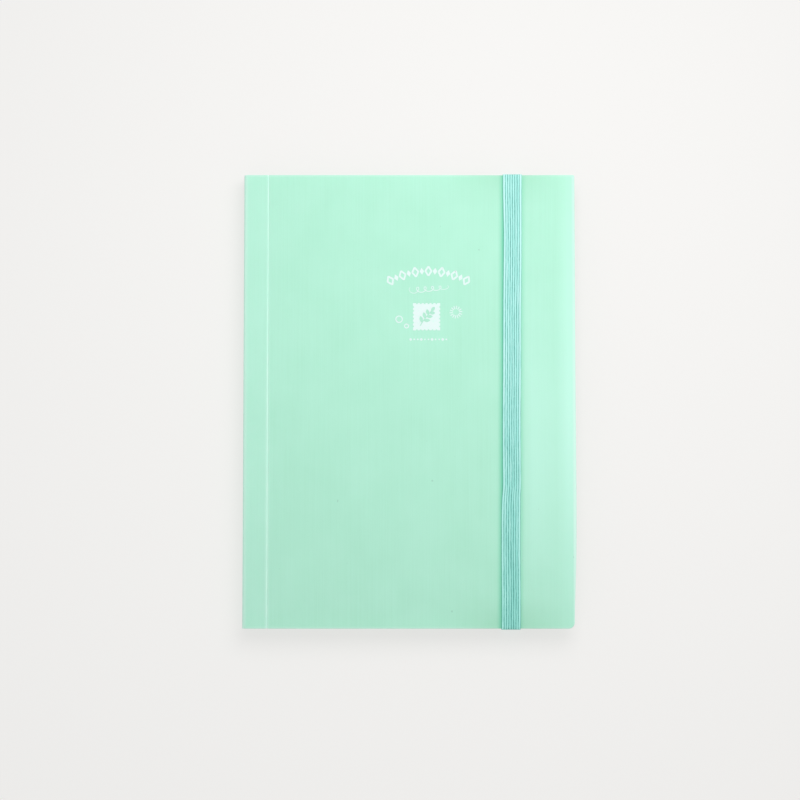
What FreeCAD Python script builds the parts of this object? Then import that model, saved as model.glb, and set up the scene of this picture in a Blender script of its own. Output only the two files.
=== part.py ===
# Stamp album: a scored plastic cover that wraps a welded block of pocket leaves, closed by an elastic band.
#
# Frame, in millimetres: +X runs from the spine to the fore-edge, +Y from the foot to the head, and +Z out
# through the front cover. The origin is at the middle of the underside of the closed album.
import FreeCAD, Part
import os

# Closed album
cover_width = 160.0
cover_height = 219.0
closed_thickness = 14.0

# Cover sheet: one plastic sheet, scored into a back, a spine, a hinge strip and a front
panel_thickness = 0.8
fold_radius = 1.0
fold_web_thickness = 0.4
crease_from_spine = 11.75
crease_groove_width = 0.6
crease_web_thickness = 0.3
head_corner_radius = 0.8
foot_corner_radius = 3.0

# Binding block: the welded margins of all the leaves, on the inside of the spine
block_depth = 3.0
block_end_gap = 0.4
tab_thickness = 0.2
hinge_gap = 0.35
first_hinge_from_block = 0.6
hinge_step = 0.8

# Pocket leaves: two clear films welded along the spine side, the head and the foot
leaf_count = 10
leaf_pitch = 1.05
film_thickness = 0.1
pocket_depth = 0.3
seam_width = 1.5
leaf_height = 210.0
leaf_fore_edge_inset = 5.0
pocket_from_spine = 16.5

# Mounting sheets: one loose stiff sheet in each pocket
mounting_thickness = 0.2
mounting_clearance = 0.5
mounting_fore_edge_inset = 6.5

# Elastic band and the two bridges that hold its ends on the inside of the back cover
band_width = 8.9
band_thickness = 0.9
band_from_spine = 129.3
band_edge_gap = 0.1
band_bend_radius = 0.9
band_end_thickness = 0.45
band_end_length = 12.0
bridge_length = 7.0
bridge_foot_width = 1.8
bridge_side_gap = 0.15
bridge_roof_gap = 0.05
bridge_roof_thickness = 0.35
bridge_inset = 4.0

# Places worked out from those sizes
spine_x = -cover_width / 2
fore_edge_x = cover_width / 2
head_y = cover_height / 2
inner_back_z = panel_thickness
inner_front_z = closed_thickness - panel_thickness
inner_spine_x = spine_x + panel_thickness
crease_x = spine_x + crease_from_spine
block_edge_x = inner_spine_x + block_depth
pocket_x = spine_x + pocket_from_spine
leaf_fore_edge_x = fore_edge_x - leaf_fore_edge_inset
leaf_half_height = leaf_height / 2
band_x = spine_x + band_from_spine
overlap = 1.0


def slab(low, high):
    """A box between two opposite corners."""
    size = [high[axis] - low[axis] for axis in range(3)]
    return Part.makeBox(size[0], size[1], size[2], FreeCAD.Vector(*low))


def edges_along_z(shape, x, y):
    """The upright edges of a shape that stand at one place in plan."""
    found = []
    for edge in shape.Edges:
        box = edge.BoundBox
        in_place = abs(box.Center.x - x) < 1e-6 and abs(box.Center.y - y) < 1e-6
        if in_place and box.ZLength > box.XLength + box.YLength:
            found.append(edge)
    return found


def cover_panel(start_x, low_z):
    """A cover from start_x to the fore-edge, with its two fore-edge corners rounded."""
    panel = slab((start_x, -head_y, low_z), (fore_edge_x, head_y, low_z + panel_thickness))
    panel = panel.makeFillet(head_corner_radius, edges_along_z(panel, fore_edge_x, head_y))
    return panel.makeFillet(foot_corner_radius, edges_along_z(panel, fore_edge_x, -head_y))


def back_cover():
    return cover_panel(spine_x + fold_radius, 0)


def front_cover():
    return cover_panel(crease_x + crease_groove_width / 2, inner_front_z)


def front_hinge_strip():
    return slab((spine_x + fold_radius, -head_y, inner_front_z),
                (crease_x - crease_groove_width / 2, head_y, closed_thickness))


def spine_panel():
    return slab((spine_x, -head_y, fold_radius),
                (inner_spine_x, head_y, closed_thickness - fold_radius))


def fold_web(centre_z, outward_z):
    """The thinned quarter-round fold between the spine and a cover; outward_z is -1 at the back, 1 in front."""
    axis = FreeCAD.Vector(0, 1, 0)
    centre = FreeCAD.Vector(spine_x + fold_radius, -head_y, centre_z)
    outer = Part.makeCylinder(fold_radius, cover_height, centre, axis)
    inner = Part.makeCylinder(fold_radius - fold_web_thickness, cover_height, centre, axis)
    corner_z = centre_z + outward_z * fold_radius
    quarter = slab((spine_x, -head_y, min(centre_z, corner_z)),
                   (spine_x + fold_radius, head_y, max(centre_z, corner_z)))
    return outer.cut(inner).common(quarter)


def crease_web():
    """The thin skin left under the crease line, flush with the outside of the front."""
    return slab((crease_x - crease_groove_width / 2, -head_y, closed_thickness - crease_web_thickness),
                (crease_x + crease_groove_width / 2, head_y, closed_thickness))


def leaf_z(index):
    """The middle height of a leaf; the stack is centred between the covers."""
    return closed_thickness / 2 + (index - (leaf_count - 1) / 2) * leaf_pitch


def leaf_hinge_x(index):
    """Leaves near the middle turn further out, so that they lie over the outer ones when the album is open."""
    steps_from_outside = min(index, leaf_count - 1 - index)
    return block_edge_x + first_hinge_from_block + steps_from_outside * hinge_step


def binding_block():
    """The welded stack of leaf margins, with the free stub of each margin out to its turning line."""
    block = slab((inner_spine_x, -leaf_half_height, inner_back_z + block_end_gap),
                 (block_edge_x, leaf_half_height, inner_front_z - block_end_gap))
    solids = [block]
    for index in range(leaf_count):
        middle_z = leaf_z(index)
        solids.append(slab((block_edge_x, -leaf_half_height, middle_z - tab_thickness / 2),
                           (leaf_hinge_x(index) - hinge_gap, leaf_half_height, middle_z + tab_thickness / 2)))
    return Part.makeCompound(solids)


def pocket_leaf(index):
    """One leaf: its margin, three weld seams and two films, open at the fore-edge."""
    middle_z = leaf_z(index)
    half_pocket = pocket_depth / 2
    seam_end_x = pocket_x + seam_width
    seam_inner_y = leaf_half_height - seam_width
    margin = slab((leaf_hinge_x(index) + hinge_gap, -leaf_half_height, middle_z - tab_thickness / 2),
                  (pocket_x, leaf_half_height, middle_z + tab_thickness / 2))
    spine_seam = slab((pocket_x, -leaf_half_height, middle_z - half_pocket),
                      (seam_end_x, leaf_half_height, middle_z + half_pocket))
    head_seam = slab((seam_end_x, seam_inner_y, middle_z - half_pocket),
                     (leaf_fore_edge_x, leaf_half_height, middle_z + half_pocket))
    foot_seam = slab((seam_end_x, -leaf_half_height, middle_z - half_pocket),
                     (leaf_fore_edge_x, -seam_inner_y, middle_z + half_pocket))
    films = []
    for film_low_z in (middle_z - half_pocket - film_thickness, middle_z + half_pocket):
        films.append(slab((pocket_x, -leaf_half_height, film_low_z),
                          (leaf_fore_edge_x, leaf_half_height, film_low_z + film_thickness)))
    return Part.makeCompound([margin, spine_seam, head_seam, foot_seam] + films)


def mounting_sheet(index):
    """The loose sheet that fills a pocket; it slides out at the fore-edge."""
    middle_z = leaf_z(index)
    half_height = leaf_half_height - seam_width - mounting_clearance
    return slab((pocket_x + seam_width + mounting_clearance, -half_height, middle_z - mounting_thickness / 2),
                (fore_edge_x - mounting_fore_edge_inset, half_height, middle_z + mounting_thickness / 2))


def elastic_band():
    """A flat strap over the front and round the head and foot; its two ends lie inside the back cover."""
    low_x = band_x - band_width / 2
    inner_y = head_y + band_edge_gap
    outer_y = inner_y + band_thickness
    strap = slab((low_x, -outer_y, inner_back_z),
                 (low_x + band_width, outer_y, closed_thickness + band_thickness))
    outer_corners = [edge for edge in strap.Edges if edge.BoundBox.XLength > band_width / 2]
    strap = strap.makeFillet(band_bend_radius, outer_corners)
    inside = slab((low_x - overlap, -inner_y, inner_back_z + band_end_thickness),
                  (low_x + band_width + overlap, inner_y, closed_thickness))
    middle_of_back = slab((low_x - overlap, band_end_length - head_y, 0),
                          (low_x + band_width + overlap, head_y - band_end_length, closed_thickness))
    return strap.cut(inside).cut(middle_of_back)


def band_bridge(side):
    """A bridge welded to the back cover over one end of the band; side is 1 at the head, -1 at the foot."""
    opening_half_width = band_width / 2 + bridge_side_gap
    outer_half_width = opening_half_width + bridge_foot_width
    roof_low_z = inner_back_z + band_end_thickness + bridge_roof_gap
    ends_y = sorted((side * (head_y - bridge_inset), side * (head_y - bridge_inset - bridge_length)))
    body = slab((band_x - outer_half_width, ends_y[0], inner_back_z),
                (band_x + outer_half_width, ends_y[1], roof_low_z + bridge_roof_thickness))
    tunnel = slab((band_x - opening_half_width, ends_y[0] - overlap, inner_back_z),
                  (band_x + opening_half_width, ends_y[1] + overlap, roof_low_z))
    return body.cut(tunnel)


def build_album():
    """Every piece of the album, by node name."""
    pieces = {
        "back_cover": back_cover(),
        "spine_panel": spine_panel(),
        "front_hinge_strip": front_hinge_strip(),
        "front_cover": front_cover(),
        "back_fold_web": fold_web(fold_radius, -1),
        "front_fold_web": fold_web(closed_thickness - fold_radius, 1),
        "crease_web": crease_web(),
        "binding_block": binding_block(),
        "elastic_band": elastic_band(),
        "band_bridge_head": band_bridge(1),
        "band_bridge_foot": band_bridge(-1),
    }
    for index in range(leaf_count):
        pieces[f"pocket_leaf_{index + 1:02d}"] = pocket_leaf(index)
        pieces[f"mounting_sheet_{index + 1:02d}"] = mounting_sheet(index)
    return pieces


os.makedirs("parts", exist_ok=True)
for name, shape in build_album().items():
    shape.exportStep(f"parts/{name}.step")
    size = shape.BoundBox
    print(f"{name}: {len(shape.Solids)} solids, {size.XLength:.2f} x {size.YLength:.2f} x {size.ZLength:.2f} mm")
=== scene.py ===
"""A closed stamp album in a mint plastic cover: the looks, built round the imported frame.

Sizes are in metres. Places come from the frame's boxes; +X is the fore-edge, +Y the head, +Z the front.
"""
import math

import bpy
import numpy as np
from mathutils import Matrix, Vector


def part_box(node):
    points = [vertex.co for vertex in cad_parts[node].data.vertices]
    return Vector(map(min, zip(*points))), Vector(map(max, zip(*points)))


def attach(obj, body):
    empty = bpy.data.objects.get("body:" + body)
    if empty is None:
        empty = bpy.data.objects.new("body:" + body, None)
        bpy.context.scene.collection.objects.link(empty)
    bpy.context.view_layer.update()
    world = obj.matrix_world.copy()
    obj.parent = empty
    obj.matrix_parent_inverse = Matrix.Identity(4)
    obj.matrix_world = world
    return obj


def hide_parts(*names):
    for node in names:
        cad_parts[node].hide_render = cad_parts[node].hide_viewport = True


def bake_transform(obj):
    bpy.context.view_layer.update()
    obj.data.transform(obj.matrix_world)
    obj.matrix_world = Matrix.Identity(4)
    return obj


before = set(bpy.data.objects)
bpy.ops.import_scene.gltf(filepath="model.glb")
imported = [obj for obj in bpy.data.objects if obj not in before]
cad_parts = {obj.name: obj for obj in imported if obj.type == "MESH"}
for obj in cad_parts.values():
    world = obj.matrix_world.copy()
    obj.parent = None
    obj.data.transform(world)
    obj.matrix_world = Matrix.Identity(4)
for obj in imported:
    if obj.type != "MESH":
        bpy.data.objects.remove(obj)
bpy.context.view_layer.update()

SCENE = bpy.context.scene
MM = 0.001
LEAF_COUNT = 10

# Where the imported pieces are
BACK_LOW, BACK_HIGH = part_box("back_cover")
FRONT_LOW, FRONT_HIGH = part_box("front_cover")
STRIP_LOW, STRIP_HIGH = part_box("front_hinge_strip")
SPINE_LOW, SPINE_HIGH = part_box("spine_panel")
BLOCK_LOW, BLOCK_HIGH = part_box("binding_block")
BAND_LOW, BAND_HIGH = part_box("elastic_band")
CREASE_LOW, CREASE_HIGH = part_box("crease_web")
HEAD_Y = FRONT_HIGH.y
TOP_Z = FRONT_HIGH.z
BAND_X = (BAND_LOW.x + BAND_HIGH.x) / 2
BAND_WIDTH = BAND_HIGH.x - BAND_LOW.x
BAND_THICKNESS = BAND_HIGH.z - TOP_Z
COVER_CENTRE_X = (SPINE_LOW.x + FRONT_HIGH.x) / 2
CREASE_X = (CREASE_LOW.x + CREASE_HIGH.x) / 2
FORE_X = FRONT_HIGH.x

# Cover sheet
HEAD_CORNER = 0.8 * MM
FOOT_CORNER = 3.0 * MM
EDGE_SOFTNESS = 0.16 * MM
FOLD_RADIUS = 1.0 * MM
FOLD_WEB = 0.4 * MM
GRID_STEP = 2.5 * MM
CORNER_PARTS = [part * FOOT_CORNER for part in (0.2, 0.4, 0.6, 0.8, 1.0)]

# Leaves
BLOCK_DEPTH = 3.0 * MM
POCKET_START_X = -63.5 * MM
SEAM = 1.5 * MM


# ---- materials

def new_material(name):
    """A material with only a Principled shader and an output, its node tree and that shader."""
    material = bpy.data.materials.new(name)
    material.use_nodes = True
    shader = material.node_tree.nodes["Principled BSDF"]
    return material, material.node_tree, shader


def add(tree, kind, **values):
    """Adds a node; values set its sockets or its own settings."""
    node = tree.nodes.new(kind)
    for key, value in values.items():
        if key in node.inputs:
            node.inputs[key].default_value = value
        else:
            setattr(node, key, value)
    return node


def settings(shader, **values):
    """Sets the shader's sockets; an underscore stands for the space in a socket's name."""
    for key, value in values.items():
        shader.inputs[key.replace("_", " ")].default_value = value


def link(source, target):
    target.id_data.links.new(source, target)


def object_coordinates(tree, scale):
    """Object coordinates stretched by scale, so a noise can be made long one way."""
    coordinates = add(tree, "ShaderNodeTexCoord")
    mapping = add(tree, "ShaderNodeMapping", Scale=scale)
    link(coordinates.outputs["Object"], mapping.inputs["Vector"])
    return mapping.outputs["Vector"]


def noise(tree, scale, detail=3.0, roughness=0.5):
    """A noise in object space; scale is features per metre along each axis."""
    node = add(tree, "ShaderNodeTexNoise", Scale=1.0, Detail=detail, Roughness=roughness)
    link(object_coordinates(tree, scale), node.inputs["Vector"])
    return node.outputs["Fac"]


def remap(tree, value, from_low, from_high, to_low=0.0, to_high=1.0):
    """Carries a value from one range to another, and holds it at the ends."""
    node = add(tree, "ShaderNodeMapRange")
    link(value, node.inputs["Value"])
    for index, number in enumerate((from_low, from_high, to_low, to_high), start=1):
        node.inputs[index].default_value = number
    return node.outputs["Result"]


def math_node(tree, operation, first, second=0.0):
    """One step of arithmetic on two values; each is a number or a socket."""
    node = add(tree, "ShaderNodeMath", operation=operation)
    for socket, value in zip(node.inputs, (first, second)):
        if isinstance(value, (int, float)):
            socket.default_value = value
        else:
            link(value, socket)
    return node.outputs[0]


def times(tree, first, second):
    return math_node(tree, "MULTIPLY", first, second)


def distance_from(tree, value, line):
    return math_node(tree, "ABSOLUTE", math_node(tree, "SUBTRACT", value, line))


def mix_colours(tree, share, first, second):
    """Mixes two colours; each is a colour or a socket."""
    node = add(tree, "ShaderNodeMix", data_type="RGBA")
    if isinstance(share, (int, float)):
        node.inputs[0].default_value = share
    else:
        link(share, node.inputs[0])
    for socket, value in ((node.inputs[6], first), (node.inputs[7], second)):
        if isinstance(value, tuple):
            socket.default_value = (*value, 1.0)
        else:
            link(value, socket)
    return node.outputs[2]


def mottled(tree, value, low, high, first, second):
    """Two colours, mixed by where a noise lies between low and high."""
    return mix_colours(tree, remap(tree, value, low, high), first, second)


def bump(tree, shader, height, strength, distance):
    node = add(tree, "ShaderNodeBump", Strength=strength, Distance=distance)
    link(height, node.inputs["Height"])
    link(node.outputs["Normal"], shader.inputs["Normal"])


def axis_value(tree, axis, kind="Object"):
    """One coordinate of the surface point, in metres, or of its normal."""
    coordinates = add(tree, "ShaderNodeTexCoord")
    split = add(tree, "ShaderNodeSeparateXYZ")
    link(coordinates.outputs[kind], split.inputs[0])
    return split.outputs[axis]


def front_face(tree):
    """1 on the front cover's outer face and 0 everywhere else, in any pose."""
    outward = math_node(tree, "GREATER_THAN", axis_value(tree, "Z", "Normal"), 0.0)
    at_front = math_node(tree, "GREATER_THAN", axis_value(tree, "Z"), TOP_Z - 3 * MM)
    return times(tree, outward, at_front)


MINT = (0.455, 0.850, 0.655)
MINT_DEEP = (0.430, 0.825, 0.625)
# a paler mint: the plastic's own streaks and its colour under thin ink, and also the painted glow where
# light comes through the cover
MINT_PALE_AND_GLOW = (0.560, 0.960, 0.790)
# painted shade in the dents the band presses into the cover
MINT_DIMPLE_SHADE = (0.375, 0.740, 0.540)
MINT_SHADE = (0.180, 0.640, 0.430)
# stress-whitening at the scored line, and also painted highlight on the cut edges and the fold
MINT_WHITENED_AND_HIGHLIGHT = (0.660, 0.970, 0.830)
SPECK = (0.20, 0.45, 0.34)
# The band's cord crests carry painted highlights and its grooves painted shade.
BAND_RIB_HIGHLIGHT = (0.650, 1.000, 0.970)
BAND_BODY = (0.425, 0.900, 0.820)
BAND_GROOVE_SHADE = (0.105, 0.380, 0.330)
# The same colours with painted shade, which darkens the band towards the foot.
BAND_RIB_HIGHLIGHT_IN_FOOT_SHADE = (0.510, 1.000, 0.900)
BAND_BODY_IN_FOOT_SHADE = (0.320, 0.810, 0.710)
BAND_GROOVE_SHADE_IN_FOOT_SHADE = (0.060, 0.330, 0.275)
INK_WHITE = (0.765, 0.90, 0.875)


def flap_glow(tree, across, height):
    """Share of glow where light comes through the flap: strongest below the middle and at the rim."""
    flap = times(tree, remap(tree, across, BAND_X + 4 * MM, BAND_X + 10 * MM),
                 remap(tree, across, BAND_X + 12 * MM, BAND_X + 24 * MM, 1.0, 0.6))
    from_middle = distance_from(tree, height, -25 * MM)
    flap = times(tree, flap, remap(tree, from_middle, 20 * MM, 85 * MM, 0.58, 0.02))
    rim = times(tree, remap(tree, height, -HEAD_Y, -20 * MM, 0.20, 0.60),
                remap(tree, height, 60 * MM, HEAD_Y, 1.0, 0.55))
    rim = times(tree, rim, remap(tree, across, FORE_X - 9.3 * MM, FORE_X - 3.5 * MM))
    return math_node(tree, "ADD", flap, rim)


def crease_whitening(tree, across, height):
    """Share of stress-whitening beside the scored line; it fades towards the head."""
    from_crease = distance_from(tree, across, CREASE_X)
    return times(tree, remap(tree, from_crease, 0.3 * MM, 1.3 * MM, 0.45, 0.0),
                 remap(tree, height, 60 * MM, -10 * MM, 0.35, 1.0))


def edge_highlights(tree, across, height, from_middle):
    """Share of painted highlight where the cut edges and the fold at the spine catch the light."""
    fore_edge = times(tree, remap(tree, height, 60 * MM, -60 * MM, 0.5, 1.0),
                      remap(tree, across, FORE_X - 1.6 * MM, FORE_X - 0.6 * MM))
    cut_edge = math_node(tree, "MAXIMUM", fore_edge,
                         remap(tree, from_middle, HEAD_Y - 1.2 * MM, HEAD_Y - 0.3 * MM, 0.0, 0.35))
    fold_edge = remap(tree, across, SPINE_LOW.x + 0.8 * MM, SPINE_LOW.x + 2.2 * MM, 0.5, 0.0)
    return math_node(tree, "MAXIMUM", cut_edge, fold_edge)


def band_dimple_shade(tree, across, from_middle):
    """Share of painted shade in the dents where the band presses the cover down at head and foot."""
    return times(tree, remap(tree, from_middle, HEAD_Y - 16 * MM, HEAD_Y - 2 * MM),
                 remap(tree, distance_from(tree, across, BAND_X), 5 * MM, 30 * MM, 0.70, 0.0))


def band_shade(tree, across, height):
    """Share of shade along the band, which lies a little askew: deep on its left, faint on its right."""
    lean, edge = 0.0072, BAND_WIDTH / 2
    band_middle = math_node(tree, "ADD", times(tree, height, lean), BAND_X)
    past_band = math_node(tree, "SUBTRACT", across, band_middle)
    left = math_node(tree, "POWER", remap(tree, past_band, -edge - 2.8 * MM, -edge), 1.7)
    right = remap(tree, past_band, edge + 0.7 * MM, edge + 2.3 * MM, 0.26, 0.0)
    return mix_colours(tree, math_node(tree, "LESS_THAN", past_band, 0.0), right, left)


def cover_plastic():
    """Translucent mint polypropylene: fine extruded grain along the height, faint mottling and a few specks.
    The painted glow, the painted shade beside the band and the painted shade in the band's dents belong to
    the closed front and are only on its outer face."""
    material, tree, shader = new_material("cover_plastic")
    grain = noise(tree, (1500.0, 14.0, 1500.0), detail=4.0, roughness=0.65)
    mottle = noise(tree, (60.0, 45.0, 60.0))
    fleck = noise(tree, (540.0, 350.0, 540.0), detail=0.0)
    across, height = axis_value(tree, "X"), axis_value(tree, "Y")
    from_middle = distance_from(tree, height, 0.0)
    outside = front_face(tree)
    strip_glow = remap(tree, across, CREASE_X, CREASE_X + 0.5 * MM, 0.20, 0.0)
    lit_flap = times(tree, flap_glow(tree, across, height), outside)
    layers = (
        (remap(tree, grain, 0.35, 0.75, 0.0, 0.22), MINT_PALE_AND_GLOW),
        # painted glow on the flap and at the fore-edge where light comes through, and painted light on the
        # hinge strip, which lies at a slight angle
        (math_node(tree, "ADD", lit_flap, strip_glow), MINT_PALE_AND_GLOW),
        (crease_whitening(tree, across, height), MINT_WHITENED_AND_HIGHLIGHT),
        # painted highlight along the cut edges and the fold at the spine
        (edge_highlights(tree, across, height, from_middle), MINT_WHITENED_AND_HIGHLIGHT),
        # painted shade in the band's dents at head and foot
        (times(tree, band_dimple_shade(tree, across, from_middle), outside), MINT_DIMPLE_SHADE),
        (times(tree, band_shade(tree, across, height), outside), MINT_SHADE),
        (remap(tree, fleck, 0.885, 0.90, 0.0, 0.30), SPECK),
    )
    colour = mottled(tree, mottle, 0.3, 0.7, MINT_DEEP, MINT)
    for share, layer_colour in layers:
        colour = mix_colours(tree, share, colour, layer_colour)
    link(colour, shader.inputs["Base Color"])
    link(remap(tree, grain, 0.3, 0.7, 0.36, 0.50), shader.inputs["Roughness"])
    settings(shader, IOR=1.49, Coat_Weight=0.15, Coat_Roughness=0.35, Subsurface_Weight=0.12,
             Subsurface_Radius=(0.8, 1.2, 1.0), Subsurface_Scale=1.2 * MM)
    bump(tree, shader, grain, 0.25, 0.04 * MM)
    return material


def crease_plastic():
    """The same plastic, stress-whitened where it is scored."""
    material, tree, shader = new_material("crease_plastic")
    grain = noise(tree, (900.0, 160.0, 900.0))
    colour = mottled(tree, grain, 0.3, 0.7, MINT_WHITENED_AND_HIGHLIGHT, MINT_PALE_AND_GLOW)
    link(colour, shader.inputs["Base Color"])
    link(remap(tree, grain, 0.3, 0.7, 0.35, 0.5), shader.inputs["Roughness"])
    bump(tree, shader, grain, 0.2, 0.03 * MM)
    return material


def band_fabric():
    """Braided elastic: painted highlights on the cords, painted shade in the grooves, and the yarn round
    each cord; painted shade darkens it towards the foot.
    """
    material, tree, shader = new_material("band_fabric")
    # the rib attribute holds the painted shading of the cords
    rib = add(tree, "ShaderNodeAttribute", attribute_name="rib")
    yarn = add(tree, "ShaderNodeTexWave", wave_type="BANDS", bands_direction="Y",
               Scale=1.0, Distortion=2.2, Detail=2.0)
    link(object_coordinates(tree, (500.0, 900.0, 500.0)), yarn.inputs["Vector"])
    fuzz = noise(tree, (2600.0, 900.0, 2600.0))
    uneven = noise(tree, (1300.0, 70.0, 1300.0), detail=2.0)
    lit = times(tree, rib.outputs["Fac"], remap(tree, uneven, 0.3, 0.65, 0.62, 1.12))
    # painted shade, from none above the middle to full at the foot
    foot_shade = remap(tree, axis_value(tree, "Y"), 20 * MM, -HEAD_Y)
    pairs = ((BAND_GROOVE_SHADE, BAND_GROOVE_SHADE_IN_FOOT_SHADE), (BAND_BODY, BAND_BODY_IN_FOOT_SHADE), (BAND_RIB_HIGHLIGHT, BAND_RIB_HIGHLIGHT_IN_FOOT_SHADE))
    # groove is the painted shade colour and crest the painted highlight colour; towards the foot both darken
    # with painted shade
    groove, middle, crest = (mix_colours(tree, foot_shade, head, foot) for head, foot in pairs)
    low = mottled(tree, lit, 0.05, 0.50, groove, middle)
    body = mottled(tree, lit, 0.60, 1.0, low, crest)
    threads = mix_colours(tree, remap(tree, yarn.outputs["Fac"], 0.0, 1.0, 0.16, 0.0), body, groove)
    final = mix_colours(tree, remap(tree, fuzz, 0.45, 0.8, 0.0, 0.3), threads, crest)
    link(final, shader.inputs["Base Color"])
    settings(shader, Roughness=0.75, Sheen_Weight=0.15)
    weave = math_node(tree, "ADD", yarn.outputs["Fac"], fuzz)
    bump(tree, shader, weave, 0.5, 0.08 * MM)
    return material


def print_ink():
    """White screen ink, slightly thin in places."""
    material, tree, shader = new_material("print_ink")
    wear = noise(tree, (900.0, 900.0, 900.0), detail=4.0)
    colour = mix_colours(tree, remap(tree, wear, 0.55, 0.75, 0.0, 0.35), INK_WHITE, MINT_PALE_AND_GLOW)
    link(colour, shader.inputs["Base Color"])
    settings(shader, Roughness=0.45)
    return material


def pocket_film():
    """Clear glossy film with faint handling haze."""
    material, tree, shader = new_material("pocket_film")
    haze = noise(tree, (120.0, 90.0, 120.0), detail=4.0)
    colour = mottled(tree, haze, 0.35, 0.7, (0.93, 0.97, 0.96), (0.98, 1.0, 0.99))
    link(colour, shader.inputs["Base Color"])
    link(remap(tree, haze, 0.3, 0.7, 0.10, 0.24), shader.inputs["Roughness"])
    settings(shader, Alpha=0.24)
    bump(tree, shader, haze, 0.04, 0.2 * MM)
    return material


def welded_film():
    """Film where two layers are welded: milky, with a fine knurl."""
    material, tree, shader = new_material("welded_film")
    knurl = add(tree, "ShaderNodeTexVoronoi", Scale=1.0, Randomness=0.15)
    link(object_coordinates(tree, (1600.0, 1600.0, 1600.0)), knurl.inputs["Vector"])
    dots = knurl.outputs["Distance"]
    colour = mottled(tree, dots, 0.1, 0.6, (0.98, 1.0, 0.99), (0.84, 0.91, 0.89))
    link(colour, shader.inputs["Base Color"])
    settings(shader, Roughness=0.38, Alpha=0.85)
    bump(tree, shader, dots, 0.4, 0.1 * MM)
    return material


def mounting_plastic():
    """Milky white stiff sheet with a satin grain."""
    material, tree, shader = new_material("mounting_plastic")
    grain = noise(tree, (2200.0, 2200.0, 2200.0))
    cloud = noise(tree, (35.0, 35.0, 35.0), detail=2.0)
    colour = mottled(tree, cloud, 0.3, 0.7, (0.90, 0.93, 0.925), (0.94, 0.96, 0.955))
    link(colour, shader.inputs["Base Color"])
    link(remap(tree, grain, 0.3, 0.7, 0.34, 0.46), shader.inputs["Roughness"])
    bump(tree, shader, grain, 0.15, 0.05 * MM)
    return material


def floor_paint():
    """A pale lit table top, so shadows on it stay faint."""
    material, tree, shader = new_material("floor_paint")
    grain = noise(tree, (900.0, 900.0, 900.0), detail=2.0)
    colour = mix_colours(tree, grain, (0.255, 0.250, 0.243), (0.262, 0.257, 0.250))
    link(colour, shader.inputs["Base Color"])
    settings(shader, Emission_Color=(0.900, 0.893, 0.880, 1.0), Emission_Strength=0.715, Roughness=0.85,
             Specular_IOR_Level=0.2)
    return material


# ---- mesh helpers

def walls(count):
    """Faces of a closed shape whose lower outline is points 0 to count - 1 and whose upper one follows."""
    faces = [tuple(reversed(range(count))), tuple(range(count, 2 * count))]
    for index in range(count):
        following = (index + 1) % count
        faces.append((index, following, count + following, count + index))
    return faces


def circle(x, y, radius, sides):
    return [(x + radius * math.cos(2 * math.pi * k / sides), y + radius * math.sin(2 * math.pi * k / sides))
            for k in range(sides)]


class Mesh:
    """Collects closed shapes, then makes one object of them. Its values are the band's painted shading,
    taken from the rib heights: light on the cord crests, lighter on the outer cords, dark in the grooves.
    """

    def __init__(self, name):
        self.name = name
        self.points = []
        self.faces = []
        self.slots = []
        self.values = []

    def take(self, points, faces, slot=0, values=None):
        offset = len(self.points)
        self.points.extend(tuple(point) for point in points)
        self.faces.extend(tuple(offset + corner for corner in face) for face in faces)
        self.slots.extend([slot] * len(faces))
        self.values.extend(values if values is not None else [0.0] * len(points))

    def plate(self, outline, low_z, high_z):
        """A flat plate from a plan outline that runs anticlockwise."""
        points = [(x, y, low_z) for x, y in outline] + [(x, y, high_z) for x, y in outline]
        self.take(points, walls(len(outline)))

    def prism(self, section, lines_y):
        """A section in X and Z, carried along Y through every line."""
        count = len(section)
        points = [(x, y, z) for y in lines_y for x, z in section]
        faces = [tuple(range(count)), tuple(reversed(range(len(points) - count, len(points))))]
        for row in range(len(lines_y) - 1):
            for index in range(count):
                following = (index + 1) % count
                near, far = row * count, (row + 1) * count
                faces.append((near + index, far + index, far + following, near + following))
        self.take(points, faces)

    def build(self, materials, sharp_degrees=35.0):
        mesh = bpy.data.meshes.new(self.name)
        mesh.from_pydata(self.points, [], self.faces)
        for index, polygon in enumerate(mesh.polygons):
            polygon.material_index = self.slots[index]
        for material in materials:
            mesh.materials.append(material)
        if any(self.values):
            attribute = mesh.attributes.new("rib", "FLOAT", "POINT")
            attribute.data.foreach_set("value", np.array(self.values, np.float32))
        mesh.shade_smooth()
        mesh.set_sharp_from_angle(angle=math.radians(sharp_degrees))
        mesh.update()
        piece = bpy.data.objects.new(self.name, mesh)
        SCENE.collection.objects.link(piece)
        return piece


def spread(low, high, step, extra=()):
    """Grid lines from low to high about step apart, with extra lines merged in."""
    count = max(1, round((high - low) / step))
    lines = set(np.round(np.linspace(low, high, count + 1), 7))
    lines.update(round(line, 7) for line in extra if low <= line <= high)
    ordered = sorted(lines)
    kept = [ordered[0]]
    for line in ordered[1:]:
        if line - kept[-1] > 0.02 * MM:
            kept.append(line)
    return np.array(kept)


def softened(low, high, soft_low=True):
    """Extra grid lines that hold a softened edge at the high end, and at the low end if soft_low."""
    lines = [high - EDGE_SOFTNESS, high - 2.5 * EDGE_SOFTNESS]
    if soft_low:
        lines += [low + EDGE_SOFTNESS, low + 2.5 * EDGE_SOFTNESS]
    return lines


def rounded_corner(xs, ys, corner_x, corner_y, radius):
    """Moves grid points near an outer corner so that the corner becomes an arc."""
    sign_x, sign_y = math.copysign(1, corner_x), math.copysign(1, corner_y)
    centre_x, centre_y = corner_x - sign_x * radius, corner_y - sign_y * radius
    across, along = (xs - centre_x) * sign_x, (ys - centre_y) * sign_y
    inside = (across > 0) & (along > 0)
    length = np.hypot(across, along)
    share = np.where(inside, np.maximum(across, along) / np.maximum(length, 1e-12), 1.0)
    new_x = np.where(inside, centre_x + sign_x * across * share, xs)
    new_y = np.where(inside, centre_y + sign_y * along * share, ys)
    return new_x, new_y


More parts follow.
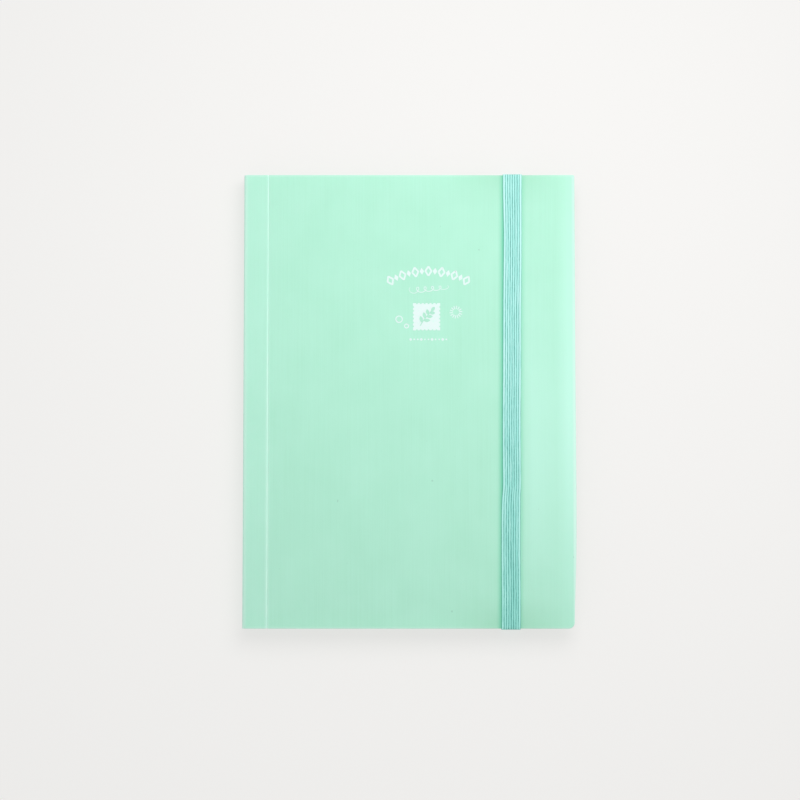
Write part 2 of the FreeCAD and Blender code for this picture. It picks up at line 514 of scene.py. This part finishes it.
def slab(mesh, xs, ys, low, high, soft, rounded=(), relief=None, upright=False, slot=0):
    """A closed slab on a grid, from low to high. soft says which of the four edges (low x, high x, low y,
    high y) are softened; rounded lists corners as (x, y, radius); relief bends both faces over x and y;
    upright trades X and Z, and turns the faces round to suit."""
    grid_x, grid_y = np.meshgrid(xs, ys, indexing="ij")
    for corner_x, corner_y, radius in rounded:
        grid_x, grid_y = rounded_corner(grid_x, grid_y, corner_x, corner_y, radius)
    bend = relief(grid_x, grid_y) if relief else np.zeros_like(grid_x)
    rim = np.zeros_like(grid_x)
    for edge, softens in zip((rim[0], rim[-1], rim[:, 0], rim[:, -1]), soft):
        edge[:] = np.maximum(edge, EDGE_SOFTNESS * softens)
    top, bottom = high + bend - rim, low + bend + rim
    count_x, count_y = grid_x.shape
    upper = np.stack([grid_x, grid_y, top], -1).reshape(-1, 3)
    lower = np.stack([grid_x, grid_y, bottom], -1).reshape(-1, 3)
    points = np.vstack([upper, lower])
    number = np.arange(count_x * count_y).reshape(count_x, count_y)
    under = number + count_x * count_y
    faces = []
    for i in range(count_x - 1):
        for j in range(count_y - 1):
            faces.append((number[i, j], number[i + 1, j], number[i + 1, j + 1], number[i, j + 1]))
            faces.append((under[i, j], under[i, j + 1], under[i + 1, j + 1], under[i + 1, j]))
    for i in range(count_x - 1):
        faces.append((under[i, 0], under[i + 1, 0], number[i + 1, 0], number[i, 0]))
        faces.append((number[i, -1], number[i + 1, -1], under[i + 1, -1], under[i, -1]))
    for j in range(count_y - 1):
        faces.append((number[0, j], number[0, j + 1], under[0, j + 1], under[0, j]))
        faces.append((under[-1, j], under[-1, j + 1], number[-1, j + 1], number[-1, j]))
    if upright:
        points = points[:, ::-1]
    winding = -1 if upright else 1
    mesh.take(points.tolist(), [tuple(int(corner) for corner in face[::winding]) for face in faces], slot)


def arc(centre, radius, start_degrees, end_degrees, steps):
    """Points on an arc, both ends included."""
    angles = np.radians(np.linspace(start_degrees, end_degrees, steps + 1))
    return [(centre[0] + radius * math.cos(angle), centre[1] + radius * math.sin(angle)) for angle in angles]


def rounded_rectangle(low_x, high_x, low_y, high_y, radius, steps=6):
    """A plan outline, anticlockwise."""
    outline = []
    corners = ((high_x, high_y, 1, 1, 0), (low_x, high_y, -1, 1, 90), (low_x, low_y, -1, -1, 180),
               (high_x, low_y, 1, -1, 270))
    for x, y, sign_x, sign_y, start in corners:
        centre = (x - sign_x * radius, y - sign_y * radius)
        outline += arc(centre, radius, start, start + 90, steps)
    return outline


# ---- cover

def bell(value, width):
    return np.exp(-(value / width) ** 2)


def front_relief(x, y):
    """How the front face leaves a flat plane: pressed down along the band and more at head and foot, lifted
    towards the fore-edge, and a touch wavy."""
    end_depth, depth_all_along, fore_lift = 0.34 * MM, 0.26 * MM, 0.25 * MM
    wave_height, ripple_height = 0.05 * MM, 0.03 * MM
    left_reach, right_reach, end_reach = 20 * MM, 11 * MM, 6.5 * MM
    from_head = HEAD_Y - np.abs(y)
    beside = np.where(x < BAND_X, bell(x - BAND_X, left_reach), bell(x - BAND_X, right_reach))
    pressed = -end_depth * beside * bell(from_head, end_reach)
    pressed_all_along = -depth_all_along * bell(np.maximum(np.abs(x - BAND_X) - 5.0 * MM, 0), 4.0 * MM)
    wave = wave_height * np.sin(x / (17 * MM) + 0.8) * np.sin(y / (31 * MM) + 0.4)
    ripple = ripple_height * np.sin(y / (11 * MM) + x / (23 * MM))
    lift = fore_lift * np.clip((x - BAND_X) / (FORE_X - BAND_X), 0, 1) ** 2 * np.cos(y / (85 * MM))
    fade = np.clip((x - CREASE_X) / (12 * MM), 0, 1)
    return (wave + ripple) * fade + pressed + pressed_all_along + lift


def fore_edge_shift(y):
    """The fore-edge isn't quite straight: it bows out below the middle and draws in at the foot."""
    return 0.15 * MM + 0.20 * MM * bell(y + 50 * MM, 40 * MM) - 0.95 * MM * bell(y + HEAD_Y, 26 * MM)


def lines_up(step, corners=True):
    """Grid lines from foot to head of a cover sheet, with those for its corners' arcs."""
    foot_arc = [part - HEAD_Y for part in CORNER_PARTS]
    head_arc = [HEAD_Y - HEAD_CORNER, HEAD_Y - HEAD_CORNER / 2]
    extra = softened(-HEAD_Y, HEAD_Y) + (foot_arc + head_arc if corners else [])
    return spread(-HEAD_Y, HEAD_Y, step, extra)


def lines_across(low_x, high_x, step, soft_low):
    """Grid lines from the spine side to the fore-edge of a cover sheet, with its corners' arcs."""
    return spread(low_x, high_x, step,
                  softened(low_x, high_x, soft_low) + [high_x - part for part in CORNER_PARTS])


def fore_corners(high_x):
    return (high_x, HEAD_Y, HEAD_CORNER), (high_x, -HEAD_Y, FOOT_CORNER)


def front_cover(plastic):
    mesh = Mesh("front_cover_sheet")
    slab(mesh, lines_across(FRONT_LOW.x, FORE_X, GRID_STEP, True), lines_up(GRID_STEP),
         FRONT_LOW.z, TOP_Z, (True, True, True, True), fore_corners(FORE_X), front_relief)
    for index, (x, y, z) in enumerate(mesh.points):
        share = max(0.0, (x - BAND_X) / (FORE_X - BAND_X)) ** 2
        mesh.points[index] = (x + share * float(fore_edge_shift(y)), y, z)
    piece = mesh.build([plastic])
    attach(piece, "front")
    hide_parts("front_cover")


def hinge_strip(plastic):
    mesh = Mesh("front_hinge_strip_sheet")
    xs = spread(STRIP_LOW.x, STRIP_HIGH.x, GRID_STEP, softened(STRIP_LOW.x, STRIP_HIGH.x, False))
    slab(mesh, xs, lines_up(GRID_STEP, False), STRIP_LOW.z, STRIP_HIGH.z, (False, True, True, True))
    piece = mesh.build([plastic])
    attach(piece, "hinge_strip")
    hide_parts("front_hinge_strip")


def back_cover(plastic):
    mesh = Mesh("back_cover_sheet")
    step = 2 * GRID_STEP
    slab(mesh, lines_across(BACK_LOW.x, BACK_HIGH.x, step, False), lines_up(step),
         BACK_LOW.z, BACK_HIGH.z, (False, True, True, True), fore_corners(BACK_HIGH.x))
    piece = mesh.build([plastic])
    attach(piece, "back")
    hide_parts("back_cover")


def spine_panel(plastic):
    """The spine stands on edge, so its slab is made lying down and turned up."""
    mesh = Mesh("spine_sheet")
    slab(mesh, spread(SPINE_LOW.z, SPINE_HIGH.z, GRID_STEP), lines_up(GRID_STEP, False),
         SPINE_LOW.x, SPINE_HIGH.x, (False, False, True, True), upright=True)
    piece = mesh.build([plastic])
    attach(piece, "spine")
    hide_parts("spine_panel")


def fold_web(name, node, plastic, centre_z, outward):
    """The thin rounded fold between the spine and a cover."""
    mesh = Mesh(name)
    centre = (SPINE_LOW.x + FOLD_RADIUS, centre_z)
    outer = arc(centre, FOLD_RADIUS, 180, 180 - outward * 90, 10)
    inner = arc(centre, FOLD_RADIUS - FOLD_WEB, 180 - outward * 90, 180, 10)
    section = outer + inner
    if outward > 0:
        section = list(reversed(section))
    mesh.prism(section, spread(-HEAD_Y + EDGE_SOFTNESS, HEAD_Y - EDGE_SOFTNESS, 10 * MM))
    piece = mesh.build([plastic], sharp_degrees=50.0)
    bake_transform(piece)
    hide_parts(node)


def crease(plastic):
    """The scored line: a shallow whitened groove that the front cover folds on."""
    mesh = Mesh("crease_line")
    depth, bulge_below, columns = 0.05 * MM, 0.05 * MM, 9
    half = (CREASE_HIGH.x - CREASE_LOW.x) / 2
    top = [(CREASE_X + half * share, TOP_Z - EDGE_SOFTNESS - depth * (1 - share * share))
           for share in np.linspace(-1, 1, columns)]
    bottom = [(CREASE_X + half * share, CREASE_LOW.z - bulge_below) for share in np.linspace(1, -1, columns)]
    mesh.prism(top + bottom, spread(-HEAD_Y + EDGE_SOFTNESS, HEAD_Y - EDGE_SOFTNESS, 8 * MM))
    piece = mesh.build([plastic], sharp_degrees=50.0)
    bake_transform(piece)
    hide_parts("crease_web")


# ---- elastic band

CORD_COUNT = 8
BAND_INNER_END = 97 * MM
BAND_END_THICKNESS = 0.45 * MM
BAND_LEG_THICKNESS = 0.65 * MM


def band_drift(y):
    """How far the band wanders sideways: it lies a little askew, with a kink below the middle."""
    lean = np.where(y > 0, 0.0085, 0.0022) * y
    pulled_back = 0.22 * MM * np.clip((y - 84 * MM) / (20 * MM), 0, 1)
    kink = 0.22 * MM * np.tanh((y + 45 * MM) / (3 * MM))
    return lean - 0.12 * MM - pulled_back + kink + 0.06 * MM * np.sin(y / (9 * MM))


def band_spread(y):
    """How much wider the band lies where it is pulled over the head and below its kink."""
    over_head = 0.045 * np.clip((y - 84 * MM) / (20 * MM), 0, 1)
    below_kink = 0.04 * np.clip((-45 * MM - y) / (6 * MM), 0, 1)
    return 0.985 + over_head + below_kink


def band_path():
    """Stations along the band from inside the foot, over the front, to inside the head: (y, z, outward y,
    outward z, thickness). It is stretched thin where it turns over the edges."""
    inner_z = BACK_HIGH.z + BAND_END_THICKNESS / 2
    leg_y = HEAD_Y + BAND_LEG_THICKNESS / 2
    step, bend_start, thinning_length = 0.7 * MM, HEAD_Y - 0.7 * MM, 5 * MM
    tuck, clear_of_tuck = 0.7 * MM, 0.9 * MM
    head = []
    for y in spread(0, bend_start, step):
        thin = float(np.clip((y - HEAD_Y + thinning_length) / thinning_length, 0, 1)) ** 2
        thickness = BAND_THICKNESS + (BAND_LEG_THICKNESS - BAND_THICKNESS) * thin
        face = TOP_Z + float(front_relief(BAND_X, y))
        head.append((y, face + thickness / 2, 0.0, 1.0, thickness))
    edge_top = head[-1][1]
    bend = leg_y - head[-1][0]
    for degrees in (68, 45, 22):
        angle = math.radians(degrees)
        head.append((leg_y - bend + bend * math.cos(angle), edge_top - bend + bend * math.sin(angle),
                     math.cos(angle), math.sin(angle), BAND_LEG_THICKNESS))
    for z in spread(inner_z + clear_of_tuck, edge_top - bend, step)[::-1]:
        head.append((leg_y, z, 1.0, 0.0, BAND_LEG_THICKNESS))
    for degrees in (-25, -50, -75):
        angle = math.radians(degrees)
        head.append((leg_y - tuck + tuck * math.cos(angle), inner_z + tuck + tuck * math.sin(angle),
                     math.cos(angle), math.sin(angle), BAND_END_THICKNESS))
    for y in spread(BAND_INNER_END, leg_y - clear_of_tuck, 1.0 * MM)[::-1]:
        head.append((y, inner_z, 0.0, -1.0, BAND_END_THICKNESS))
    foot = [(-y, z, -out_y, out_z, thickness) for y, z, out_y, out_z, thickness in head[1:]]
    return foot[::-1] + head


def cord_profile():
    """Places across the band from -1 to 1, each with its rib height from 0 to 1 and its cord's number."""
    places = []
    for cord in range(CORD_COUNT):
        for share in (0.0, 0.12, 0.3, 0.5, 0.7, 0.88):
            across = -1 + 2 * (cord + share) / CORD_COUNT
            places.append((across, math.sin(math.pi * share) ** 0.7 if 0 < share < 1 else 0.0, cord))
    return places + [(1.0, 0.0, CORD_COUNT - 1)]


def ribbon_faces(station_count, across_count):
    """Faces of a closed ribbon; every station has a row of front points and then a row of back points."""
    row, last = 2 * across_count, across_count - 1
    faces = []
    for station in range(station_count - 1):
        near, far = station * row, (station + 1) * row
        for index in range(last):
            faces.append((near + index, near + index + 1, far + index + 1, far + index))
            faces.append((near + across_count + index, far + across_count + index,
                          far + across_count + index + 1, near + across_count + index + 1))
        faces.append((near, far, far + across_count, near + across_count))
        faces.append((near + last, near + across_count + last, far + across_count + last, far + last))
    for station, turn in ((0, 1), (station_count - 1, -1)):
        first = station * row
        ring = [first + index for index in range(across_count)]
        ring += [first + across_count + index for index in range(across_count)][::-1]
        faces.append(tuple(ring[::-turn]))
    return faces


def elastic_band(fabric):
    """One ribbed ribbon: cords of slightly uneven height and spacing, thin where it is flattened inside."""
    mesh = Mesh("elastic_band_ribbon")
    rng = np.random.default_rng(5)
    path, profile = band_path(), cord_profile()
    cord_level = rng.uniform(0.72, 1.0, CORD_COUNT)
    cord_level[0] = cord_level[-1] = 1.0
    phases = rng.uniform(0, 2 * math.pi, (CORD_COUNT + 1, 3))
    waver_lengths, waver_reach = (2.1, 4.7, 0.9), 0.09 * MM
    groove_depth, back_depth, back_rounding, outer_cord_highlight = 0.34, 0.46, 0.34, 1.25
    settles_from, settles_over = 2 * MM, 9 * MM
    points, values = [], []
    travelled = 0.0
    previous = path[0]
    for station in path:
        y, z, out_y, out_z, thickness = station
        travelled += math.hypot(y - previous[0], z - previous[1])
        previous = station
        settled = float(np.clip((z - settles_from) / settles_over, 0, 1))
        drift = float(band_drift(y)) * settled * settled * (3 - 2 * settled)
        half_width = BAND_WIDTH / 2 * (1 + (float(band_spread(y)) - 1) * settled)
        front, back = [], []
        for across, rib, cord in profile:
            waver = sum(math.sin(travelled / (length * MM) + phases[cord][index])
                        for index, length in enumerate(waver_lengths)) / 3
            side = across * half_width + drift + waver_reach * waver * (1 - abs(across) ** 8)
            level = cord_level[cord] * (1 + 0.10 * waver)
            height = thickness * (0.5 - groove_depth * (1 - rib * min(level, 1.0)))
            under = thickness * (back_depth - back_rounding * abs(across) ** 18)
            front.append((BAND_X + side, y + out_y * height, z + out_z * height))
            back.append((BAND_X + side, y - out_y * under, z - out_z * under))
            # painted shading of the cords for the band's colour: light on the crests, lighter still on the
            # two outer cords, dark in the grooves
            outer = outer_cord_highlight if abs(across) > 1 - 2 / CORD_COUNT else 1.0
            values.append(max(0.02, rib ** 1.4 * level * outer))
        points += front + back
        values += [0.5] * len(back)
    mesh.take(points, ribbon_faces(len(path), len(profile)), 0, values)
    piece = mesh.build([fabric], sharp_degrees=75.0)
    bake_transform(piece)
    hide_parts("elastic_band")


def bridge(name, node, plastic):
    """A strap welded down on both sides of the band's end, with the marks of the weld."""
    low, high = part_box(node)
    mesh = Mesh(name)
    foot_width, roof, foot_height = 1.8 * MM, 0.35 * MM, 0.42 * MM
    bevel = 0.12 * MM
    dot_inset, dot_sink, dot_radius, dot_height = 0.55 * MM, 0.04 * MM, 0.36 * MM, 0.14 * MM
    inner_low, inner_high = low.x + foot_width, high.x - foot_width
    under = high.z - roof
    section = [
        (low.x, low.z), (inner_low, low.z), (inner_low, under - bevel), (inner_low + bevel, under),
        (inner_high - bevel, under), (inner_high, under - bevel), (inner_high, low.z), (high.x, low.z),
        (high.x, low.z + foot_height - bevel), (high.x - bevel, low.z + foot_height),
        (inner_high + 0.7 * MM, low.z + foot_height), (inner_high + 0.25 * MM, high.z - 0.15 * MM),
        (inner_high - 0.1 * MM, high.z), (inner_low + 0.1 * MM, high.z),
        (inner_low - 0.25 * MM, high.z - 0.15 * MM),
        (inner_low - 0.7 * MM, low.z + foot_height), (low.x + bevel, low.z + foot_height),
        (low.x, low.z + foot_height - bevel),
    ]
    mesh.prism(section[::-1], spread(low.y, high.y, 1.0 * MM))
    for x in (low.x + dot_inset, high.x - dot_inset):
        for share in (0.2, 0.5, 0.8):
            y = low.y + share * (high.y - low.y)
            dome(mesh, (x, y, low.z + foot_height - dot_sink), dot_radius, dot_height)
    piece = mesh.build([plastic], sharp_degrees=40.0)
    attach(piece, "back")
    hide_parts(node)


def dome(mesh, centre, radius, height, sides=12):
    """A small closed weld dot that stands on a surface."""
    points = [(centre[0], centre[1], centre[2] - 0.05 * MM)]
    rings = ((1.0, -0.05 * MM), (1.0, 0.25 * height), (0.7, 0.8 * height))
    for share, rise in rings:
        points += [(x, y, centre[2] + rise) for x, y in circle(centre[0], centre[1], share * radius, sides)]
    points.append((centre[0], centre[1], centre[2] + height))
    faces = []
    for k in range(sides):
        after = (k + 1) % sides
        faces.append((0, 1 + after, 1 + k))
        for ring in range(len(rings) - 1):
            near, far = 1 + ring * sides, 1 + (ring + 1) * sides
            faces.append((near + k, near + after, far + after, far + k))
        top = 1 + (len(rings) - 1) * sides
        faces.append((top + k, top + after, len(points) - 1))
    mesh.take(points, faces)


# ---- binding, leaves and mounting sheets

def binding_block(weld):
    """The leaves' welded edges: a core, with a layer for each leaf that ends in a bevelled lip."""
    mesh = Mesh("binding_stack")
    pitch = (BLOCK_HIGH.z - BLOCK_LOW.z) / LEAF_COUNT
    spine_side, fore_side = BLOCK_LOW.x, BLOCK_LOW.x + BLOCK_DEPTH
    half_gap, bevel, core_inset = 0.04 * MM, 0.3 * MM, 0.6 * MM
    for layer in range(LEAF_COUNT):
        low = BLOCK_LOW.z + layer * pitch + half_gap
        high = low + pitch - 2 * half_gap
        inset = 0.12 * MM * (layer % 3) / 2
        edge = fore_side - inset
        section = [(spine_side, low), (edge - bevel, low), (edge, low + 0.3 * pitch),
                   (edge, high - 0.3 * pitch), (edge - bevel, high), (spine_side, high)]
        mesh.prism(section[::-1], [BLOCK_LOW.y + inset, BLOCK_HIGH.y - inset])
    core = [(spine_side, BLOCK_LOW.z), (fore_side - core_inset, BLOCK_LOW.z),
            (fore_side - core_inset, BLOCK_HIGH.z), (spine_side, BLOCK_HIGH.z)]
    mesh.prism(core[::-1], [BLOCK_LOW.y + bevel, BLOCK_HIGH.y - bevel])
    piece = mesh.build([weld], sharp_degrees=30.0)
    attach(piece, "spine")
    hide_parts("binding_block")


def leaf_level(index):
    """Middle height of a leaf, counted from 0 at the back."""
    low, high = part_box(f"mounting_sheet_{index + 1:02d}")
    return (low.z + high.z) / 2


def pocket_leaf(index, film, weld):
    """A clear pocket, open at the fore-edge, on a margin beside the binding."""
    name = f"pocket_leaf_{index + 1:02d}"
    low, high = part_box(name)
    level = leaf_level(index)
    block_edge = BLOCK_LOW.x + BLOCK_DEPTH
    half_weld, skin, half_depth = 0.10 * MM, 0.10 * MM, 0.25 * MM
    lip, lip_swell = 0.9 * MM, 0.10 * MM
    long_step, margin_step, overlap = 30 * MM, 0.3 * MM, 0.05 * MM
    film_slot, weld_slot = 0, 1
    mesh = Mesh(f"pocket_{index + 1:02d}")

    def plate(xs, ys, zs, slot, step):
        slab(mesh, spread(*xs, step), np.array(ys), zs[0], zs[1], (False,) * 4, slot=slot)

    edges, inside = (low.y, high.y), (low.y + SEAM, high.y - SEAM)
    pocket_x = POCKET_START_X + SEAM
    whole = (level - half_depth, level + half_depth)
    margin = (level - half_weld, level + half_weld)
    plate((block_edge - overlap, POCKET_START_X), edges, margin, weld_slot, margin_step)
    plate((POCKET_START_X, pocket_x), edges, whole, weld_slot, SEAM)
    for side in (-1, 1):
        seam = sorted((side * high.y, side * (high.y - SEAM)))
        plate((pocket_x, high.x), seam, whole, weld_slot, long_step)
        inner_face, outer_face = level + side * (half_depth - skin), level + side * half_depth
        plate((pocket_x, high.x - lip), inside, sorted((inner_face, outer_face)), film_slot, long_step)
        lip_face = level + side * (half_depth + lip_swell)
        plate((high.x - lip, high.x), inside, sorted((inner_face, lip_face)), weld_slot, lip)
    piece = mesh.build([film, weld], sharp_degrees=30.0)
    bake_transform(piece)
    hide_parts(name)


def mounting_sheet(index, plastic):
    """A stiff white sheet with rounded corners and a notch for the thumb at the fore-edge."""
    name = f"mounting_sheet_{index + 1:02d}"
    low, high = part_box(name)
    outline = rounded_rectangle(low.x, high.x, low.y, high.y, 4 * MM)
    notch_radius, notch_depth = 9 * MM, 3.2 * MM
    centre_x = high.x + notch_radius - notch_depth
    spread_angle = math.degrees(math.acos((notch_radius - notch_depth) / notch_radius))
    outline += arc((centre_x, 0), notch_radius, 180 + spread_angle, 180 - spread_angle, 12)
    mesh = Mesh(f"mounting_{index + 1:02d}")
    mesh.plate(outline, low.z, high.z)
    piece = mesh.build([plastic], sharp_degrees=30.0)
    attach(piece, f"sheet_{index + 1:02d}")
    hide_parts(name)


# ---- ornament

class Print(Mesh):
    """Ink on the front: thin closed shapes that follow the face."""

    lift = 0.03 * MM
    sink = 0.06 * MM

    def shape(self, outline):
        """A filled outline, anticlockwise and not too hollow."""
        plan = np.array(outline)
        face = TOP_Z + front_relief(plan[:, 0], plan[:, 1])
        under = [(x, y, z - self.sink) for (x, y), z in zip(outline, face)]
        over = [(x, y, z + self.lift) for (x, y), z in zip(outline, face)]
        self.take(under + over, walls(len(outline)))

    def stroke(self, line, width, closed=False, taper=0.0):
        """A ribbon along a line; taper narrows both ends."""
        line = np.array(line)
        count = len(line)
        if closed:
            ahead, behind = np.roll(line, -1, 0), np.roll(line, 1, 0)
        else:
            ahead = np.vstack([line[1:], 2 * line[-1] - line[-2]])
            behind = np.vstack([2 * line[0] - line[1], line[:-1]])
        along = ahead - behind
        along /= np.maximum(np.linalg.norm(along, axis=1), 1e-9)[:, None]
        across = np.stack([-along[:, 1], along[:, 0]], 1)
        place = np.linspace(0, 1, count)
        half = width / 2 * (1 - taper * np.abs(2 * place - 1) ** 3)
        left, right = line + across * half[:, None], line - across * half[:, None]
        face = TOP_Z + front_relief(line[:, 0], line[:, 1])
        points = []
        for k in range(count):
            points += [(*right[k], face[k] - self.sink), (*right[k], face[k] + self.lift),
                       (*left[k], face[k] + self.lift), (*left[k], face[k] - self.sink)]
        faces = []
        for k in range(count if closed else count - 1):
            near, far = 4 * k, 4 * ((k + 1) % count)
            for corner in range(4):
                after = (corner + 1) % 4
                faces.append((near + corner, near + after, far + after, far + corner))
        if not closed:
            last = 4 * (count - 1)
            faces += [(3, 2, 1, 0), (last, last + 1, last + 2, last + 3)]
        self.take(points, faces)

    def ring(self, x, y, radius, width, sides=28):
        self.stroke(circle(x, y, radius, sides), width, closed=True)

    def dot(self, x, y, radius, sides=14):
        self.shape(circle(x, y, radius, sides))

    def petal(self, x, y, length, width, degrees):
        """A leaf shape that starts at a point and leans by an angle."""
        angle = math.radians(degrees)
        outline = []
        for side in (-1, 1):
            shares = np.linspace(0, 1, 8)[:-1] if side < 0 else np.linspace(1, 0, 8)[:-1]
            for share in shares:
                ahead, beside = share * length, side * width / 2 * math.sin(math.pi * share) ** 0.8
                outline.append((x + ahead * math.cos(angle) - beside * math.sin(angle),
                                y + ahead * math.sin(angle) + beside * math.cos(angle)))
        self.shape(outline)


def arch_of_lozenges(ink, centre_x, top_y, half_width, sagitta, count):
    """A row on an arch of hollow lozenges with small solid ones between."""
    radius = (half_width ** 2 + sagitta ** 2) / (2 * sagitta)
    reach = math.asin(half_width / radius)
    for index in range(count):
        angle = reach * (2 * index / (count - 1) - 1)
        x, y = centre_x + radius * math.sin(angle), top_y - radius * (1 - math.cos(angle))
        hollow = index % 2 == 0
        tall, wide = (2.3 * MM, 1.5 * MM) if hollow else (1.7 * MM, 1.1 * MM)
        ring = []
        for degrees, reach_out in ((0, tall), (90, wide), (180, tall), (270, wide)):
            turn = -angle + math.radians(degrees)
            ring.append((x - reach_out * math.sin(turn), y + reach_out * math.cos(turn)))
        if hollow:
            loop = []
            for k in range(4):
                start, stop = np.array(ring[k]), np.array(ring[(k + 1) % 4])
                loop += [tuple(start + (stop - start) * share) for share in (0.06, 0.35, 0.65, 0.94)]
            ink.stroke(loop, 0.85 * MM, closed=True)
        else:
            ink.shape(ring)


def flourish(ink, low_x, high_x, middle_y):
    """A thin looping line, thickest in the middle."""
    line = []
    for share in np.linspace(0, 1, 130):
        turn = 10 * math.pi * share
        tall = 1.5 * MM * (1 - 0.45 * share)
        line.append((low_x + (high_x - low_x) * share - 1.3 * MM * math.sin(turn),
                     middle_y + tall * math.cos(turn) + 1.6 * MM * (share - 0.5)))
    ink.stroke(line, 0.36 * MM, taper=0.5)


def perforated_stamp(ink, centre_x, centre_y, half, teeth):
    """A solid postage-stamp shape with round bites along its edges."""
    outline = []
    step = 2 * half / teeth
    corners = ((-1, -1, 1, 0), (1, -1, 0, 1), (1, 1, -1, 0), (-1, 1, 0, -1))
    round_bite = ((-0.26, 0), (-0.18, 0.2), (0.0, 0.3), (0.18, 0.2), (0.26, 0))
    for corner_x, corner_y, ahead_x, ahead_y in corners:
        for tooth in range(teeth):
            for share, depth in round_bite if tooth > 0 else ((0.0, 0),):
                along = (tooth + share) * step
                outline.append((centre_x + corner_x * half + ahead_x * along - ahead_y * depth * step,
                                centre_y + corner_y * half + ahead_y * along + ahead_x * depth * step))
    ink.shape(outline)


def sprig(ink, centre_x, centre_y, lift):
    """A stem with paired leaves, laid over the stamp."""
    stem = [(centre_x - 3.0 * MM + 5.6 * MM * share, centre_y - 4.4 * MM + 7.4 * MM * share ** 0.8)
            for share in np.linspace(0, 1, 16)]
    ink.lift = lift
    ink.stroke(stem, 0.5 * MM, taper=0.3)
    for share, side in ((0.18, 1), (0.30, -1), (0.44, 1), (0.56, -1), (0.70, 1), (0.80, -1)):
        x, y = stem[int(share * 15)]
        ink.petal(x, y, (3.7 - 1.3 * share) * MM, 1.65 * MM, 52 + side * 50)
    ink.petal(*stem[-2], 2.8 * MM, 1.6 * MM, 52)


def burst(ink, x, y, inner, outer, rays):
    """Short rays round an empty middle."""
    for ray in range(rays):
        angle = 2 * math.pi * (ray + 0.25) / rays
        line = [(x + reach * math.cos(angle), y + reach * math.sin(angle))
                for reach in np.linspace(inner, outer, 3)]
        ink.stroke(line, 0.42 * MM)


def ornament(white, mint):
    """The print on the front, which stands for nothing: an arch, a stamp with a sprig, and small marks."""
    middle = COVER_CENTRE_X + 9.3 * MM
    ink = Print("printed_ornament")
    arch_of_lozenges(ink, middle, 62.6 * MM, 18.4 * MM, 4.6 * MM, 13)
    flourish(ink, middle - 8.8 * MM, middle + 9.2 * MM, 53.9 * MM)
    stamp = (middle - 0.9 * MM, 40.4 * MM)
    perforated_stamp(ink, *stamp, 6.6 * MM, 7)
    burst(ink, middle + 13.3 * MM, 42.6 * MM, 1.5 * MM, 3.1 * MM, 14)
    ink.ring(middle - 14.2 * MM, 39.2 * MM, 1.55 * MM, 0.5 * MM)
    ink.ring(middle - 10.6 * MM, 35.9 * MM, 0.95 * MM, 0.5 * MM)
    for index in range(11):
        size = 0.62 if index % 3 == 0 else 0.42
        ink.dot(middle - 8.6 * MM + index * 1.72 * MM, 29.4 * MM, size * MM)
    overlay = Print("printed_sprig")
    sprig(overlay, *stamp, 0.05 * MM)
    for layer, material in ((ink, white), (overlay, mint)):
        piece = layer.build([material], sharp_degrees=20.0)
        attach(piece, "front")


# ---- camera, light and floor

def camera():
    """Straight down over the album, tipped a little towards the foot."""
    data = bpy.data.cameras.new("camera")
    distance, frame_width = 0.90, 0.3855
    data.sensor_width = 36.0
    data.lens = data.sensor_width * distance / frame_width
    tilt = math.radians(3.4)
    aim = (COVER_CENTRE_X - 4.45 * MM, 0.1 * MM, TOP_Z)
    obj = bpy.data.objects.new("camera", data)
    obj.location = (aim[0], aim[1] - distance * math.sin(tilt), aim[2] + distance * math.cos(tilt))
    obj.rotation_euler = (tilt, 0, 0)
    SCENE.collection.objects.link(obj)
    SCENE.camera = obj


def key_light(location, size, power):
    """A square light that points at the middle of the album. It leaves no reflection of its own."""
    data = bpy.data.lights.new("key", "AREA")
    data.shape = "SQUARE"
    data.size = size
    data.energy = power
    obj = bpy.data.objects.new("key", data)
    obj.location = location
    obj.rotation_euler = (-Vector(location)).to_track_quat("-Z", "Y").to_euler()
    obj.visible_glossy = False
    SCENE.collection.objects.link(obj)


def studio():
    world = bpy.data.worlds.new("studio")
    world.use_nodes = True
    background = world.node_tree.nodes["Background"]
    background.inputs["Color"].default_value = (0.98, 0.99, 1.0, 1.0)
    background.inputs["Strength"].default_value = 0.565
    SCENE.world = world
    key_light((0.073, 0.180, 0.415), 0.30, 1.23)
    mesh = Mesh("floor")
    half = 40.0
    mesh.take([(-half, -half, 0), (half, -half, 0), (half, half, 0), (-half, half, 0)], [(0, 1, 2, 3)])
    floor = mesh.build([floor_paint()])
    SCENE.view_settings.view_transform = "Standard"


plastic = cover_plastic()
whitened = crease_plastic()
back_cover(plastic)
spine_panel(plastic)
hinge_strip(plastic)
front_cover(plastic)
fold_web("back_fold", "back_fold_web", plastic, SPINE_LOW.z, -1)
fold_web("front_fold", "front_fold_web", plastic, SPINE_HIGH.z, 1)
crease(whitened)
elastic_band(band_fabric())
bridge("bridge_at_head", "band_bridge_head", plastic)
bridge("bridge_at_foot", "band_bridge_foot", plastic)
film, weld, stiff = pocket_film(), welded_film(), mounting_plastic()
binding_block(weld)
for leaf in range(LEAF_COUNT):
    pocket_leaf(leaf, film, weld)
    mounting_sheet(leaf, stiff)
ornament(print_ink(), plastic)
camera()
studio()
